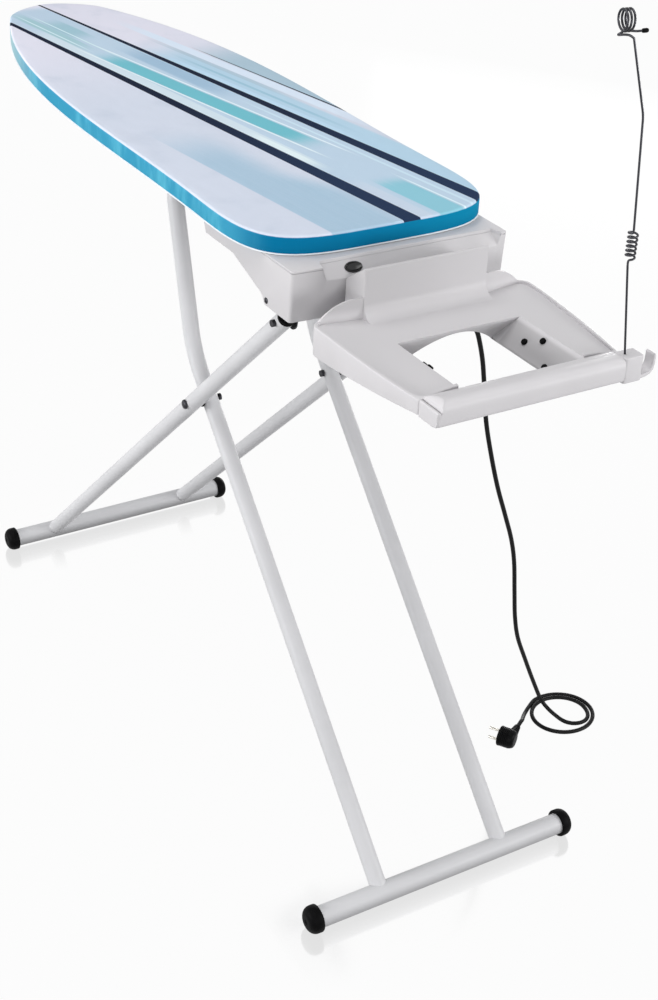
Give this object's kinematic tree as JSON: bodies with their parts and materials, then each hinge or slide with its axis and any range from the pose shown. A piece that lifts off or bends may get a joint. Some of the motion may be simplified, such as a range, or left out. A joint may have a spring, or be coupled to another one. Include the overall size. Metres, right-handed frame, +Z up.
{
  "type": "vacuum ironing table",
  "caption": "Padded ironing board on crossing folding legs, with a suction fan under its wide end, a steam station rest and a sprung wire cord holder.",
  "frame": {"origin": "on the floor under the middle of the object", "axes": "+X along the board from its nose to the iron rest, +Y to the side with the release grip and cord, +Z up"},
  "size_m": [1.5117, 0.6958, 1.3059],
  "materials": {
    "cover_cloth": "woven cotton, printed",
    "felt": "felt",
    "zinc_steel": "zinc plated",
    "white_paint": "white powder coat, satin",
    "white_plastic": "moulded, slightly glossy",
    "black_plastic": "moulded, matte",
    "black_rubber": "moulded rubber",
    "grey_plastic": "moulded, matte",
    "spring_steel": "drawn wire",
    "nickel": "nickel plated"
  },
  "bodies": {
    "board": {"cover": "cover_cloth", "felt_pad": "felt", "perforated_deck": "zinc_steel", "air_pan": "white_paint", "guide_channel": "zinc_steel", "lever_pin": "zinc_steel", "lever_spring": "spring_steel", "fan_housing": "white_plastic", "housing_lid": "white_plastic", "fan_scroll": "white_plastic", "fan_motor": "zinc_steel", "switch_bezel": "black_plastic", "switch_box": "grey_plastic", "side_screw_left": "zinc_steel", "side_screw_right": "zinc_steel", "hinge_bracket_left": "zinc_steel", "hinge_bracket_right": "zinc_steel", "strain_relief": "black_rubber", "mains_cord": "black_plastic", "mains_plug": "black_plastic", "plug_pin_upper": "nickel", "plug_pin_lower": "nickel", "iron_tray": "white_plastic", "front_rail": "white_plastic", "cord_hook": "white_plastic", "tray_arm_left": "zinc_steel", "tray_arm_right": "zinc_steel", "tray_pad_left_1": "black_rubber", "tray_pad_left_2": "black_rubber", "tray_pad_left_3": "black_rubber", "tray_pad_right_1": "black_rubber", "tray_pad_right_2": "black_rubber", "tray_pad_right_3": "black_rubber"},
    "outer_legs": {"outer_leg_left": "white_paint", "outer_leg_right": "white_paint", "leg_plug_left": "black_plastic", "leg_plug_right": "black_plastic", "hinge_axle": "zinc_steel", "outer_foot_bar": "white_paint", "outer_foot_cap_left": "black_rubber", "outer_foot_cap_right": "black_rubber", "pivot_bolt_left": "zinc_steel", "pivot_bolt_right": "zinc_steel", "pivot_spacer_left": "black_plastic", "pivot_spacer_right": "black_plastic", "pivot_nut_left": "zinc_steel", "pivot_nut_right": "zinc_steel"},
    "inner_legs": {"inner_leg_frame": "white_paint", "inner_foot_bar": "white_paint", "inner_foot_cap_left": "black_rubber", "inner_foot_cap_right": "black_rubber"},
    "release_lever": {"clamp_lever": "zinc_steel", "release_rod": "zinc_steel", "release_grip": "black_plastic"},
    "fan": {"fan_impeller": "black_plastic", "fan_shaft": "zinc_steel"},
    "rocker": {"rocker_switch": "black_plastic"},
    "holder_pole": {"holder_pole": "spring_steel"},
    "holder_top": {"holder_wire": "spring_steel", "holder_tip": "black_plastic"}
  },
  "joints": [
    {"name": "leg_fold", "type": "hinge", "parent": "board", "child": "outer_legs", "pos_m": [0.371, 0, 0.818], "axis": [0, 1, 0], "range_deg": [0, 34]},
    {"name": "leg_cross", "type": "hinge", "parent": "outer_legs", "child": "inner_legs", "pos_m": [0.10845, 0, 0.57257], "axis": [0, -1, 0], "range_deg": [0, 80]},
    {"name": "height_release", "type": "hinge", "parent": "board", "child": "release_lever", "pos_m": [0.055, 0, 0.875], "axis": [0, -1, 0], "range_deg": [0, 5], "stiffness_Nm_per_rad": 8, "springref_deg": -11.46, "deforming": ["lever_spring"]},
    {"name": "fan_spin", "type": "hinge", "parent": "board", "child": "fan", "pos_m": [0.3, 0, 0.9], "axis": [0, 0, 1], "continuous": true},
    {"name": "switch_rock", "type": "hinge", "parent": "board", "child": "rocker", "pos_m": [0.4378, -0.0725, 0.90988], "axis": [-0.7321, 0, 0.6813], "range_deg": [0, 12]},
    {"name": "holder_swivel", "type": "hinge", "parent": "board", "child": "holder_pole", "pos_m": [0.742, 0.1365, 0.8755], "axis": [0, -0.134, 0.991], "continuous": true},
    {"name": "holder_flex", "type": "hinge", "parent": "holder_pole", "child": "holder_top", "pos_m": [0.742, 0.12009, 0.9969], "axis": [0, 1, 0], "range_deg": [-20, 20], "stiffness_Nm_per_rad": 0.6}
  ],
  "couplings": [
    {"joint": "leg_cross", "follows": "leg_fold", "ratio": 2.35}
  ]
}
